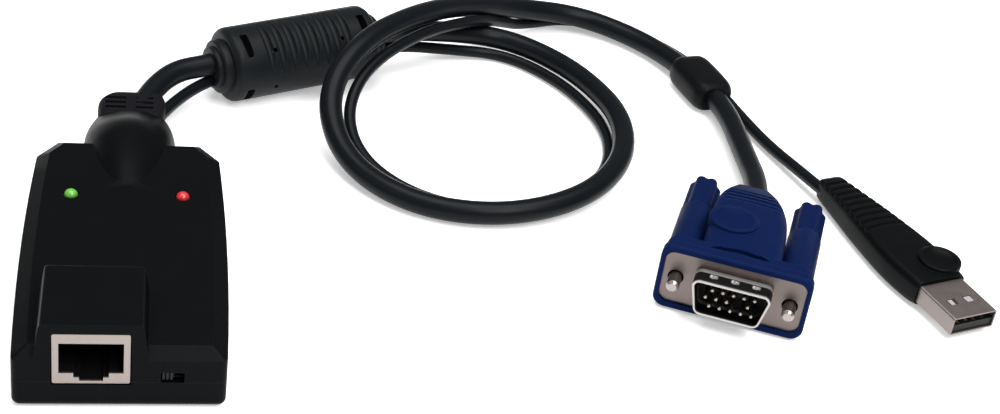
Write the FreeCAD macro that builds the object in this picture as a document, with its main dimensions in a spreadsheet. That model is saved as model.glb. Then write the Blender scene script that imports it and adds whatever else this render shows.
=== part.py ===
import FreeCAD, Part
import math
import operator
import os
import Sketcher
from FreeCAD import Placement, Rotation, Vector

# A keyboard-video-mouse interface dongle: a two-part moulded housing with a network jack,
# two cables that share one filter choke, and a video plug and a USB plug on their ends.
# Millimetres. The housing stands on Z = 0 with its jack facing -Y, centred on the origin.

SIZES = {
    # Housing: plan, heights and walls.
    "housing_length": 76.3,
    "housing_width": 39.8,
    "housing_waist": 41.0,
    "housing_rear_width": 39.0,
    "housing_tail": 92.3,
    "corner_run": 4.2,
    "corner_rise": 6.2,
    "split_height": 6.2,
    "wall_top": 11.3,
    "roof_height": 13.0,
    "roof_slope_run": 2.8,
    "wall": 1.8,
    # Raised box over the jack.
    "jack_offset": -5.3,
    "hump_base_width": 20.8,
    "hump_top_width": 18.8,
    "hump_length": 19.6,
    "hump_height": 19.6,
    "window_width": 14.8,
    "window_bottom": 5.6,
    "window_top": 17.5,
    # Torpedo collar that grips the strain relief.
    "collar_centre": 80.0,
    "collar_radius": 10.1,
    "collar_axis_height": 7.2,
    "collar_front": 56.0,
    "collar_front_radius": 5.2,
    "collar_end_radius": 7.9,
    "relief_radius": 7.1,
    "relief_length": 8.2,
    "relief_tip_radius": 4.3,
    "gland_radius": 5.0,
    "gland_flange_radius": 6.4,
    # Network jack.
    "shield_width": 14.3,
    "shield_height": 11.5,
    "shield_depth": 15.6,
    "shield_bottom": 5.8,
    "shield_sheet": 0.4,
    "jack_mouth_width": 11.9,
    "jack_mouth_height": 6.95,
    "jack_mouth_bottom": 8.2,
    # Video plug.
    "flange_width": 30.8,
    "flange_height": 12.5,
    "screw_spacing": 25.0,
    "dsub_width": 16.9,
    "dsub_height": 8.36,
    "dsub_reach": 5.9,
    "sleeve_end": 29.0,
    "knob_length": 12.6,
    # USB plug.
    "usb_width": 12.0,
    "usb_height": 4.5,
    "usb_reach": 12.5,
    "usb_sheet": 0.35,
    "grip_end": 57.0,
    # Filter choke and cables.
    "choke_radius": 9.1,
    "choke_length": 38.6,
    "neck_radius": 4.9,
    "neck_reach": 5.4,
    "video_cable_diameter": 5.4,
    "usb_cable_diameter": 2.9,
}

doc = FreeCAD.newDocument("dongle")
sheet = doc.addObject("Spreadsheet::Sheet", "params")
for row, (word, number) in enumerate(SIZES.items(), start=1):
    sheet.set("A%d" % row, word)
    sheet.set("B%d" % row, str(number))
    sheet.setAlias("B%d" % row, word)
doc.recompute()

FINISHED = []


class Size:
    """A number together with the spreadsheet expression that gives it."""

    def __init__(self, value, text):
        self.value = value
        self.text = text

    def __add__(self, other):
        return combined(self, "+", other)

    def __radd__(self, other):
        return combined(other, "+", self)

    def __sub__(self, other):
        return combined(self, "-", other)

    def __rsub__(self, other):
        return combined(other, "-", self)

    def __mul__(self, other):
        return combined(self, "*", other)

    def __rmul__(self, other):
        return combined(other, "*", self)

    def __truediv__(self, other):
        return combined(self, "/", other)

    def __neg__(self):
        return combined(0, "-", self)


SIGNS = {"+": operator.add, "-": operator.sub, "*": operator.mul, "/": operator.truediv}


def as_size(number):
    return number if isinstance(number, Size) else Size(float(number), repr(float(number)))


def combined(left, sign, right):
    left, right = as_size(left), as_size(right)
    value = SIGNS[sign](left.value, right.value)
    return Size(value, "(%s %s %s)" % (left.text, sign, right.text))


def size(word):
    return Size(float(SIZES[word]), "params.%s" % word)


def bind(thing, field, number):
    """Give a property its number, and tie it to the spreadsheet."""
    number = as_size(number)
    setattr(thing, field, number.value)
    thing.setExpression(field, number.text)


# ---------------------------------------------------------------- sketches and features

def new_body(label):
    body = doc.addObject("PartDesign::Body", label)
    body.Label = label
    return body


def new_sketch(body, name, role, level=0, rise=0):
    """A sketch on an origin plane of the body, moved by level along its normal and up by rise."""
    plane = [feature for feature in body.Origin.OriginFeatures if feature.Role == role][0]
    sketch = body.newObject("Sketcher::SketchObject", name)
    sketch.AttachmentSupport = [(plane, "")]
    sketch.MapMode = "FlatFace"
    level, rise = as_size(level), as_size(rise)
    sketch.AttachmentOffset = Placement(Vector(0, rise.value, level.value), Rotation())
    sketch.setExpression("AttachmentOffset.Base.y", rise.text)
    sketch.setExpression("AttachmentOffset.Base.z", level.text)
    return sketch


def fix_point(sketch, curve, end, x, y):
    """Hold one point of a curve at X, Y from the sketch's origin."""
    for kind, number in (("DistanceX", as_size(x)), ("DistanceY", as_size(y))):
        constraint = Sketcher.Constraint(kind, -1, 1, curve, end, number.value)
        index = sketch.addConstraint(constraint)
        sketch.setExpression("Constraints[%d]" % index, number.text)


def fix_radius(sketch, curve, radius):
    radius = as_size(radius)
    index = sketch.addConstraint(Sketcher.Constraint("Radius", curve, radius.value))
    sketch.setExpression("Constraints[%d]" % index, radius.text)


def arc_between(start, end, radius):
    """The shorter arc from start to end. A positive radius bulges to the right of the way."""
    middle = (start + end) * 0.5
    along = end - start
    left = Vector(-along.y, along.x, 0).normalize()
    depth = math.sqrt(radius * radius - 0.25 * along.Length ** 2)
    top = middle + left * (depth - abs(radius)) * (1 if radius > 0 else -1)
    return Part.Arc(start, top, end)


def draw_outline(sketch, corners, arcs=None):
    """A closed outline through the corners. arcs gives the radius of each leg that is round."""
    arcs = arcs or {}
    spots = [Vector(as_size(x).value, as_size(y).value, 0) for x, y in corners]
    starts = []
    for leg, start in enumerate(spots):
        end = spots[(leg + 1) % len(spots)]
        if leg in arcs:
            curve = sketch.addGeometry(arc_between(start, end, as_size(arcs[leg]).value), False)
        else:
            curve = sketch.addGeometry(Part.LineSegment(start, end), False)
        near = 1 if (sketch.getPoint(curve, 1) - start).Length < 1e-6 else 2
        starts.append((curve, near))
    for leg, (curve, near) in enumerate(starts):
        follower, follower_near = starts[(leg + 1) % len(starts)]
        sketch.addConstraint(
            Sketcher.Constraint("Coincident", curve, 3 - near, follower, follower_near))
        fix_point(sketch, curve, near, *corners[leg])
        if leg in arcs:
            magnitude = as_size(arcs[leg])
            fix_radius(sketch, curve, magnitude if magnitude.value > 0 else -magnitude)


def draw_circle(sketch, x, y, radius):
    centre = Vector(as_size(x).value, as_size(y).value, 0)
    circle = Part.Circle(centre, Vector(0, 0, 1), as_size(radius).value)
    curve = sketch.addGeometry(circle, False)
    fix_point(sketch, curve, 3, x, y)
    fix_radius(sketch, curve, radius)


def draw_rectangle(sketch, left, right, bottom, top):
    draw_outline(sketch, [(left, bottom), (right, bottom), (right, top), (left, top)])


def draw_rounded(sketch, left, right, bottom, top, radius):
    """A rectangle with round corners."""
    corners = [(left + radius, bottom), (right - radius, bottom), (right, bottom + radius),
               (right, top - radius), (right - radius, top), (left + radius, top),
               (left, top - radius), (left, bottom + radius)]
    draw_outline(sketch, corners, {1: radius, 3: radius, 5: radius, 7: radius})


def draw_oval(sketch, x, y, half_width, half_length):
    """An oval of four arcs: tight at its ends, flatter along its flanks."""
    side = half_length * 0.62
    end = half_width * 0.74
    flank = half_width - end
    flank_radius = (flank * flank + side * side) / (2 * flank)
    cap = half_length - side
    cap_radius = (cap * cap + end * end) / (2 * cap)
    draw_outline(sketch, [(x - end, y - side), (x + end, y - side), (x + end, y + side),
                          (x - end, y + side)],
                 {0: cap_radius, 1: flank_radius, 2: cap_radius, 3: flank_radius})


def pad(body, name, sketch, length, backwards=False, middle=False):
    feature = body.newObject("PartDesign::Pad", name)
    feature.Profile = sketch
    bind(feature, "Length", length)
    feature.Reversed = backwards
    feature.Midplane = middle
    return feature


def pocket(body, name, sketch, length, backwards=False, middle=False):
    """A pocket, with a check that it took material away."""
    doc.recompute()
    before = body.Shape.Volume
    feature = body.newObject("PartDesign::Pocket", name)
    feature.Profile = sketch
    bind(feature, "Length", length)
    feature.Reversed = backwards
    feature.Midplane = middle
    doc.recompute()
    if not feature.Shape.Volume < before - 1e-4:
        raise RuntimeError("%s of %s cuts nothing" % (name, body.Label))
    return feature


def revolve(body, name, sketch, axis="V_Axis", cut=False):
    doc.recompute()
    before = body.Shape.Volume if body.Shape.Solids else 0.0
    kind = "PartDesign::Groove" if cut else "PartDesign::Revolution"
    feature = body.newObject(kind, name)
    feature.Profile = sketch
    feature.ReferenceAxis = (sketch, [axis])
    feature.Angle = 360.0
    doc.recompute()
    if cut and not feature.Shape.Volume < before - 1e-4:
        raise RuntimeError("%s of %s cuts nothing" % (name, body.Label))
    return feature


def loft(body, name, sketches, ruled=False, cut=False):
    kind = "PartDesign::SubtractiveLoft" if cut else "PartDesign::AdditiveLoft"
    feature = body.newObject(kind, name)
    feature.Profile = sketches[0]
    feature.Sections = sketches[1:]
    feature.Ruled = ruled
    doc.recompute()
    return feature


def dress(body, name, kind, amount, wanted, second=None):
    """Fillet or chamfer the edges of the body's present tip that wanted() accepts."""
    doc.recompute()
    base = body.Tip
    edges = ["Edge%d" % (index + 1) for index, edge in enumerate(base.Shape.Edges) if wanted(edge)]
    if not edges:
        raise RuntimeError("%s of %s finds no edge" % (name, body.Label))
    feature = body.newObject("PartDesign::" + kind, name)
    feature.Base = (base, edges)
    if kind == "Fillet":
        bind(feature, "Radius", amount)
    elif second is None:
        bind(feature, "Size", amount)
    else:
        feature.ChamferType = "Two distances"
        bind(feature, "Size", amount)
        bind(feature, "Size2", second)
    doc.recompute()
    return feature


def finish(thing, placement=None):
    """Put a sub-part in its place and list it for the export."""
    if placement is not None:
        thing.Placement = placement
    FINISHED.append(thing)
    return thing


def bored(thing, label, tools):
    """A moulding with the cables' own round ways cut out of it."""
    base = thing
    for index, tool in enumerate(tools):
        cut = doc.addObject("Part::Cut", "%s_cut_%d" % (label, index))
        cut.Base = base
        cut.Tool = tool
        base = cut
    thing.Label = label + "_blank"
    base.Label = label
    doc.recompute()
    FINISHED.append(base)
    return base


def at_height(edge, height, slack=0.02):
    return all(abs(vertex.Z - height) < slack for vertex in edge.Vertexes)


# ---------------------------------------------------------------- places in the frame

FRONT = -0.5 * SIZES["housing_tail"]
HOUSING_PLACE = Placement(Vector(0, FRONT, 0), Rotation())
VIDEO_PLUG_PLACE = Placement(Vector(127.5, -16.6, 8.1), Rotation(-23.5, 0, -2.8))
USB_PLUG_PLACE = Placement(Vector(182.5, -21.0, 3.9), Rotation(17.4, 0, 0))
CHOKE_HEADING = 24.0
CHOKE_PLACE = Placement(Vector(40.3, 79.55, SIZES["choke_radius"]), Rotation(CHOKE_HEADING, 0, 0))
JUNCTION_PLACE = Placement(Vector(145.2, 80.8, 4.2), Rotation(-76.0, 0, 0))

VIDEO_CABLE_ROUTE = [
    (-0.4, 48.0, 7.4), (7.5, 64.9, 10.2), (64.8, 90.4, 10.6), (81.6, 98.0, 6.9),
    (94.0, 100.0, 4.7), (104.6, 93.4, 4.3), (113.9, 79.4, 4.8), (119.7, 59.9, 5.2),
    (116.0, 39.4, 5.0), (102.9, 23.8, 4.2), (82.7, 17.0, 3.3), (62.6, 21.8, 2.9),
    (48.4, 37.6, 4.0), (44.7, 54.9, 11.4), (54.0, 68.9, 19.0), (69.3, 84.3, 18.8),
    (84.2, 99.0, 14.4), (101.1, 111.4, 7.8), (118.8, 115.4, 4.4), (134.3, 105.6, 3.1),
    (144.0, 87.4, 3.8), (148.4, 66.9, 4.6), (147.7, 46.0, 4.5), (146.2, 27.0, 5.9),
    (142.2, 17.3, 6.5)]
USB_CABLE_ROUTE = [
    (4.4, 48.4, 6.0), (13.3, 67.5, 5.9), (64.8, 90.4, 6.3), (82.3, 95.9, 2.6),
    (93.4, 96.7, 1.5), (102.0, 90.8, 1.5), (111.0, 78.1, 1.5), (116.5, 59.7, 1.5),
    (113.1, 40.8, 1.5), (100.9, 26.8, 1.5), (82.5, 21.2, 1.5), (65.2, 26.3, 1.5),
    (53.4, 39.6, 2.4), (49.8, 53.4, 6.8), (55.0, 65.2, 13.4), (69.8, 80.6, 15.4),
    (86.9, 96.0, 11.8), (94.6, 104.8, 6.9), (102.4, 111.8, 2.5), (117.4, 119.4, 1.5),
    (137.2, 109.7, 1.6), (148.0, 89.1, 3.0), (152.6, 68.5, 2.4), (156.8, 54.0, 1.9),
    (161.2, 39.4, 3.2), (164.6, 28.6, 3.9)]


# ---------------------------------------------------------------- cables

def rounded_path(route):
    """Straight runs joined by tangent arcs, as large as the two runs beside each point allow."""
    spots = [Vector(*spot) for spot in route]
    edges = []
    radii = []
    here = spots[0]
    for before, corner, after in zip(spots, spots[1:], spots[2:]):
        back = before - corner
        onward = after - corner
        turn = math.pi - back.getAngle(onward)
        reach = 0.45 * min(back.Length, onward.Length)
        radius = reach / math.tan(turn / 2)
        back.normalize()
        onward.normalize()
        middle = (back + onward).normalize()
        nearest = math.hypot(radius, reach) - radius
        start, end = corner + back * reach, corner + onward * reach
        edges.append(Part.LineSegment(here, start).toShape())
        edges.append(Part.Arc(start, corner + middle * nearest, end).toShape())
        radii.append(radius)
        here = end
    edges.append(Part.LineSegment(here, spots[-1]).toShape())
    return Part.Wire(edges), radii


def make_cable(label, route, diameter):
    """A round cable swept along its route."""
    path, radii = rounded_path(route)
    ring = Part.Circle(Vector(*route[0]), Vector(*route[1]) - Vector(*route[0]), diameter / 2)
    tube = path.makePipeShell([Part.Wire([ring.toShape()])], True, False)
    if tube.Volume < 0:
        tube.reverse()
    expected = math.pi * diameter ** 2 / 4 * path.Length
    print("%s: length %.1f, volume %.0f of %.0f" % (label, path.Length, tube.Volume, expected))
    print("   arc radii " + " ".join("%.0f" % radius for radius in radii))
    if abs(tube.Volume - expected) > 0.02 * expected:
        raise RuntimeError("%s has the wrong volume" % label)
    cable = doc.addObject("Part::Feature", label)
    cable.Label = label
    cable.Shape = tube
    return finish(cable)


# ---------------------------------------------------------------- housing

def cover_outline(sketch, inset, corner=1.2):
    """Plan of the housing drawn in by inset: bowed sides, and rear corners cut off."""
    inset = as_size(inset)
    front = size("housing_width") / 2 - inset
    rear = size("housing_rear_width") / 2 - inset
    back = size("housing_length") - inset
    side_start = inset + corner
    side_end = size("housing_length") - size("corner_rise") - inset * 0.307
    cut_end = size("housing_rear_width") / 2 - size("corner_run") - inset * 0.53
    half_chord = (side_end - side_start) / 2
    bow = size("housing_waist") / 2 - (size("housing_width") + size("housing_rear_width")) / 4
    bow_radius = (half_chord * half_chord + bow * bow) / (2 * bow)
    corners = [(-front + corner, inset), (front - corner, inset), (front, side_start),
               (rear, side_end), (cut_end, back), (-cut_end, back), (-rear, side_end),
               (-front, side_start)]
    draw_outline(sketch, corners, {1: corner, 2: bow_radius, 6: bow_radius, 7: corner})


def collar_profile(sketch, start, start_radius, inset=0):
    """Half profile of the torpedo collar, from start to its rear end, drawn in by inset."""
    centre, end = size("collar_centre"), size("housing_tail")
    largest = size("collar_radius") - inset
    first, last = as_size(start_radius) - inset, size("collar_end_radius") - inset
    reach = centre - start
    front_arc = (reach * reach + (largest - first) * (largest - first)) / (2 * (largest - first))
    reach = end - centre
    rear_arc = (reach * reach + (largest - last) * (largest - last)) / (2 * (largest - last))
    corners = [(start, 0), (end, 0), (end, last), (centre, largest), (start, first)]
    draw_outline(sketch, corners, {2: rear_arc, 3: front_arc})


def collar_sketch(body, name):
    return new_sketch(body, name, "YZ_Plane", rise=size("collar_axis_height"))


def cut_relief_seat(body):
    """The bore for the strain relief's shank, with the groove that holds its flange."""
    bore = collar_sketch(body, "relief_bore")
    draw_rectangle(bore, 70.0, size("housing_tail") + 1, 0, size("gland_radius") + 0.2)
    revolve(body, "relief_bore_cut", bore, "H_Axis", cut=True)
    groove = collar_sketch(body, "flange_seat")
    draw_rectangle(groove, 84.1, 86.3, size("gland_radius") - 1, size("gland_flange_radius") + 0.2)
    revolve(body, "flange_seat_cut", groove, "H_Axis", cut=True)


def jack_window(body):
    """The window for the network jack, cut through the front wall."""
    sketch = new_sketch(body, "jack_window", "XZ_Plane", 1.0)
    half = size("window_width") / 2
    draw_rectangle(sketch, size("jack_offset") - half, size("jack_offset") + half,
                   size("window_bottom"), size("window_top"))
    pocket(body, "jack_window_cut", sketch, size("wall") + 1.3)


def make_lower_cover():
    body = new_body("lower_cover")
    plan = new_sketch(body, "plan", "XY_Plane")
    cover_outline(plan, 0)
    pad(body, "tray", plan, size("split_height"))
    dress(body, "foot_round", "Fillet", 1.9, lambda edge: at_height(edge, 0))
    collar = collar_sketch(body, "collar")
    collar_profile(collar, 72.0, 9.6)
    revolve(body, "collar_turned", collar, "H_Axis")
    above = new_sketch(body, "above", "XY_Plane", size("split_height"))
    draw_rectangle(above, -30, 30, 40, 110)
    pocket(body, "split_face", above, 20, backwards=True)
    below = new_sketch(body, "below", "XY_Plane")
    draw_rectangle(below, -30, 30, 40, 110)
    pocket(body, "standing_face", below, 20)
    cavity = new_sketch(body, "cavity", "XY_Plane", size("wall"))
    cover_outline(cavity, size("wall"), 0.8)
    pocket(body, "cavity_cut", cavity, 20, backwards=True)
    cut_relief_seat(body)
    jack_window(body)
    posts = new_sketch(body, "posts", "XY_Plane", 1.5)
    for x, y in ((-14.5, 21.0), (14.5, 12.0), (-14.5, 64.0), (14.5, 64.0)):
        draw_circle(posts, x, y, 2.2)
    pad(body, "board_posts", posts, 2.6)
    return finish(body, HOUSING_PLACE)


def make_upper_cover():
    body = new_body("upper_cover")
    wall = new_sketch(body, "wall_outline", "XY_Plane", size("split_height"))
    cover_outline(wall, 0)
    pad(body, "walls", wall, size("wall_top") - size("split_height"))
    slope_foot = new_sketch(body, "slope_foot", "XY_Plane", size("wall_top"))
    cover_outline(slope_foot, 0)
    slope_head = new_sketch(body, "slope_head", "XY_Plane", size("roof_height"))
    cover_outline(slope_head, size("roof_slope_run"), 0.4)
    loft(body, "sloped_edge", [slope_foot, slope_head], ruled=True)
    add_hump(body)
    collar = collar_sketch(body, "collar")
    collar_profile(collar, size("collar_front"), size("collar_front_radius"))
    revolve(body, "collar_turned", collar, "H_Axis")
    below = new_sketch(body, "below", "XY_Plane", size("split_height"))
    draw_rectangle(below, -30, 30, 40, 110)
    pocket(body, "split_face", below, 20)
    cavity = new_sketch(body, "cavity", "XY_Plane", size("split_height") - 1)
    cover_outline(cavity, size("wall"), 0.8)
    depth = size("roof_height") - size("split_height") - 0.6
    pocket(body, "cavity_cut", cavity, depth, backwards=True)
    inside = collar_sketch(body, "collar_inside")
    draw_outline(inside, [(60.0, 0), (80.0, 0), (80.0, 7.6), (60.0, 4.6)], {2: 90.0})
    revolve(body, "collar_inside_cut", inside, "H_Axis", cut=True)
    cut_relief_seat(body)
    jack_window(body)
    lamps = new_sketch(body, "lamp_holes", "XY_Plane", size("roof_height") + 1)
    for x in (-11.5, 11.5):
        draw_circle(lamps, x, 53.5, 1.7)
    pocket(body, "lamp_holes_cut", lamps, 4)
    slot = new_sketch(body, "switch_slot", "XZ_Plane", 1.0)
    draw_rectangle(slot, 7.5, 11.9, size("split_height") - 1, 8.6)
    pocket(body, "switch_slot_cut", slot, size("wall") + 1.3)
    return finish(body, HOUSING_PLACE)


def add_hump(body):
    """The raised box over the jack: drafted sides, round edges, flush with the front."""
    slope = (size("hump_base_width") - size("hump_top_width")) / 2
    slope = slope / (size("hump_height") - size("roof_height"))
    sketches = []
    for name, level in (("hump_foot", size("wall_top") - 2), ("hump_head", size("hump_height"))):
        half = size("hump_top_width") / 2 + (size("hump_height") - level) * slope
        sketch = new_sketch(body, name, "XY_Plane", level)
        back = size("hump_length") + (size("hump_height") - level) * 0.06
        draw_rectangle(sketch, size("jack_offset") - half, size("jack_offset") + half, 0, back)
        sketches.append(sketch)
    loft(body, "hump", sketches, ruled=True)
    top = SIZES["hump_height"]
    rear = SIZES["hump_length"]
    dress(body, "hump_rear_round", "Fillet", 1.4,
          lambda edge: at_height(edge, top) and all(abs(v.Y - rear) < 0.02 for v in edge.Vertexes))
    dress(body, "hump_side_round", "Fillet", 0.7,
          lambda edge: at_height(edge, top) and abs(edge.BoundBox.XLength) < 0.02)
    cavity = new_sketch(body, "hump_cavity", "XY_Plane", size("split_height") - 1)
    half = size("shield_width") / 2 + 0.4
    draw_rectangle(cavity, size("jack_offset") - half, size("jack_offset") + half,
                   size("wall"), size("hump_length") - size("wall"))
    pocket(body, "hump_cavity_cut", cavity, size("hump_height") - size("split_height") - 0.6,
           backwards=True)


def make_board():
    body = new_body("main_board")
    sketch = new_sketch(body, "outline", "XY_Plane", 4.15)
    cover_outline(sketch, 2.6, 0.6)
    pad(body, "laminate", sketch, 1.6)
    holes = new_sketch(body, "post_holes", "XY_Plane", 5.75)
    for x, y in ((-14.5, 21.0), (14.5, 12.0), (-14.5, 64.0), (14.5, 64.0)):
        draw_circle(holes, x, y, 1.1)
    pocket(body, "post_holes_cut", holes, 2)
    return finish(body, HOUSING_PLACE)


def make_block(label, x, y, width, depth, height, edge=0.3, level=5.75):
    """A moulded electronic part that stands on the board."""
    body = new_body(label)
    sketch = new_sketch(body, "outline", "XY_Plane", level)
    draw_rectangle(sketch, x - width / 2, x + width / 2, y - depth / 2, y + depth / 2)
    pad(body, "block", sketch, height)
    dress(body, "edge_break", "Chamfer", edge, lambda side: at_height(side, level + height))
    return finish(body, HOUSING_PLACE)


def make_jack_shield():
    body = new_body("jack_shield")
    centre = size("jack_offset")
    half = size("shield_width") / 2
    bottom = size("shield_bottom")
    box = new_sketch(body, "outside", "XZ_Plane", -0.2)
    draw_rounded(box, centre - half, centre + half, bottom, bottom + size("shield_height"), 0.4)
    pad(body, "can", box, size("shield_depth"), backwards=True)
    room = new_sketch(body, "inside", "XY_Plane", bottom)
    inner = half - size("shield_sheet")
    draw_rectangle(room, centre - inner, centre + inner, 0.2 + size("shield_sheet"),
                   0.2 + size("shield_depth") - size("shield_sheet"))
    pocket(body, "inside_cut", room, size("shield_height") - size("shield_sheet"), backwards=True)
    mouth = new_sketch(body, "mouth", "XZ_Plane", 1)
    mouth_outline(mouth, 0)
    pocket(body, "mouth_cut", mouth, 1.9)
    return finish(body, HOUSING_PLACE)


def mouth_outline(sketch, inset):
    """The stepped mouth of a network jack: the plug's body, and below it the latch's way."""
    centre = size("jack_offset")
    floor = size("jack_mouth_bottom") + inset
    ceiling = size("jack_mouth_bottom") + size("jack_mouth_height") - inset
    wide, step, latch = size("jack_mouth_width") / 2 - inset, 3.25 - inset, 2.2 - inset
    draw_outline(sketch, [
        (centre - latch, 6.4), (centre + latch, 6.4), (centre + latch, 7.2),
        (centre + step, 7.2), (centre + step, floor), (centre + wide, floor),
        (centre + wide, ceiling), (centre - wide, ceiling), (centre - wide, floor),
        (centre - step, floor), (centre - step, 7.2), (centre - latch, 7.2)])


def make_jack_insert():
    body = new_body("jack_insert")
    centre = size("jack_offset")
    half = size("shield_width") / 2 - size("shield_sheet") - 0.05
    block = new_sketch(body, "outside", "XZ_Plane", -0.65)
    draw_rectangle(block, centre - half, centre + half, size("shield_bottom"), 16.8)
    pad(body, "block", block, 14.6, backwards=True)
    mouth = new_sketch(body, "mouth", "XZ_Plane", -0.5)
    mouth_outline(mouth, 0.05)
    pocket(body, "mouth_cut", mouth, 11.9)
    comb = new_sketch(body, "comb", "XZ_Plane", -1.6)
    for step in range(8):
        left = centre + (step - 3.5) * 1.02 - 0.33
        draw_rectangle(comb, left, left + 0.66, 14.6, 16.1)
    pocket(body, "comb_cut", comb, 10.8)
    return finish(body, HOUSING_PLACE)


def make_jack_contact(number):
    """One spring wire: over the comb at the front, then down and back to the rear wall."""
    body = new_body("jack_contact_%d" % number)
    middle = size("jack_offset") + (number - 4.5) * 1.02
    sketch = new_sketch(body, "side", "YZ_Plane", middle - 0.22)
    draw_outline(sketch, [
        (2.2, 15.2), (2.5, 14.9), (10.2, 10.7), (10.8, 10.9), (12.3, 13.4), (12.3, 13.8),
        (12.0, 13.6), (10.5, 11.2), (10.2, 11.1), (2.6, 15.3)])
    pad(body, "wire", sketch, 0.44)
    return finish(body, HOUSING_PLACE)


def make_lamp(label, x):
    """A 3 mm lamp: a collar, a round stem and a domed end that stands out of the roof."""
    body = new_body(label)
    sketch = new_sketch(body, "profile", "XZ_Plane", -53.5)
    draw_outline(sketch, [(x, 8.6), (x + 1.85, 8.6), (x + 1.85, 9.5), (x + 1.5, 9.5),
                          (x + 1.5, 12.5), (x, 14.0)], {4: 1.5})
    axis = sketch.addGeometry(Part.LineSegment(Vector(x, 0, 0), Vector(x, 1, 0)), True)
    fix_point(sketch, axis, 1, x, 0)
    fix_point(sketch, axis, 2, x, 1)
    revolve(body, "turned", sketch, "Axis0")
    return finish(body, HOUSING_PLACE)


def make_lamp_leads():
    body = new_body("lamp_leads")
    sketch = new_sketch(body, "wires", "XY_Plane", 5.75)
    for x in (-12.77, -10.23, 10.23, 12.77):
        draw_rectangle(sketch, x - 0.25, x + 0.25, 53.25, 53.75)
    pad(body, "legs", sketch, 2.8)
    return finish(body, HOUSING_PLACE)


def make_switch():
    """The mode switch: its case on the board, and the toothed slider in the slot."""
    case = new_body("mode_switch_body")
    block = new_sketch(case, "outline", "XY_Plane", 5.75)
    draw_rectangle(block, 6.9, 12.5, 2.7, 6.6)
    pad(case, "block", block, 3.4)
    way = new_sketch(case, "slider_way", "XZ_Plane", -2.6)
    draw_rectangle(way, 7.5, 11.9, 6.4, 8.4)
    pocket(case, "slider_way_cut", way, 2.2)
    finish(case, HOUSING_PLACE)
    slider = new_body("mode_switch_slider")
    shape = new_sketch(slider, "outline", "XY_Plane", 6.55)
    teeth = [(7.7, 4.6), (7.7, 0.9)]
    for tooth in range(3):
        left = 7.7 + tooth * 0.75
        teeth += [(left + 0.1, 0.45), (left + 0.5, 0.45), (left + 0.6, 0.9)]
    draw_outline(shape, teeth + [(9.95, 0.9), (9.95, 4.6)])
    pad(slider, "block", shape, 1.7)
    return finish(slider, HOUSING_PLACE)


def make_strain_relief(cables):
    """The moulded boot on the cables: shank and flange in the collar, grooved dome outside."""
    body = new_body("strain_relief")
    tail = size("housing_tail")
    front = tail + 0.15
    end = tail + size("relief_length") + 1.2
    rise = size("relief_radius") - size("relief_tip_radius")
    reach = end - front - 2.0
    dome = (reach * reach + rise * rise) / (2 * rise)
    shape = collar_sketch(body, "profile")
    draw_outline(shape, [
        (79.0, 0), (end, 0), (end, size("relief_tip_radius") - 0.6),
        (end - 0.6, size("relief_tip_radius")), (front + 1.4, size("relief_radius")),
        (front, size("relief_radius")), (front, size("gland_radius")),
        (86.1, size("gland_radius")), (86.1, size("gland_flange_radius")),
        (84.3, size("gland_flange_radius")), (84.3, size("gland_radius")),
        (79.0, size("gland_radius"))], {2: 0.6, 3: dome})
    revolve(body, "turned", shape, "H_Axis")
    for number, (place, depth) in enumerate(((95.0, 6.1), (97.2, 5.4), (99.4, 4.3))):
        ring = collar_sketch(body, "flex_groove_%d" % number)
        draw_rectangle(ring, place, place + 1.1, depth, 9.0)
        revolve(body, "flex_groove_cut_%d" % number, ring, "H_Axis", cut=True)
    web = collar_sketch(body, "web")
    draw_outline(web, [(front + 1.4, 2.0), (end - 0.6, 2.0),
                       (end - 0.6, size("relief_tip_radius") - 0.1),
                       (front + 1.4, size("relief_radius") - 0.1)], {2: dome})
    rib = revolve(body, "web_turned", web, "H_Axis")
    rib.Angle = 16.0
    rib.Midplane = True
    face = new_sketch(body, "exit_face", "XY_Plane", 0)
    draw_outline(face, [(0.6, end), (8.6, end - 5.6), (12.0, end), (12.0, end + 5.0), (0.6, end + 5.0)])
    pocket(body, "exit_face_cut", face, 40, middle=True)
    body.Placement = HOUSING_PLACE
    return bored(body, "strain_relief", cables)


# ---------------------------------------------------------------- choke and junction

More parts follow.
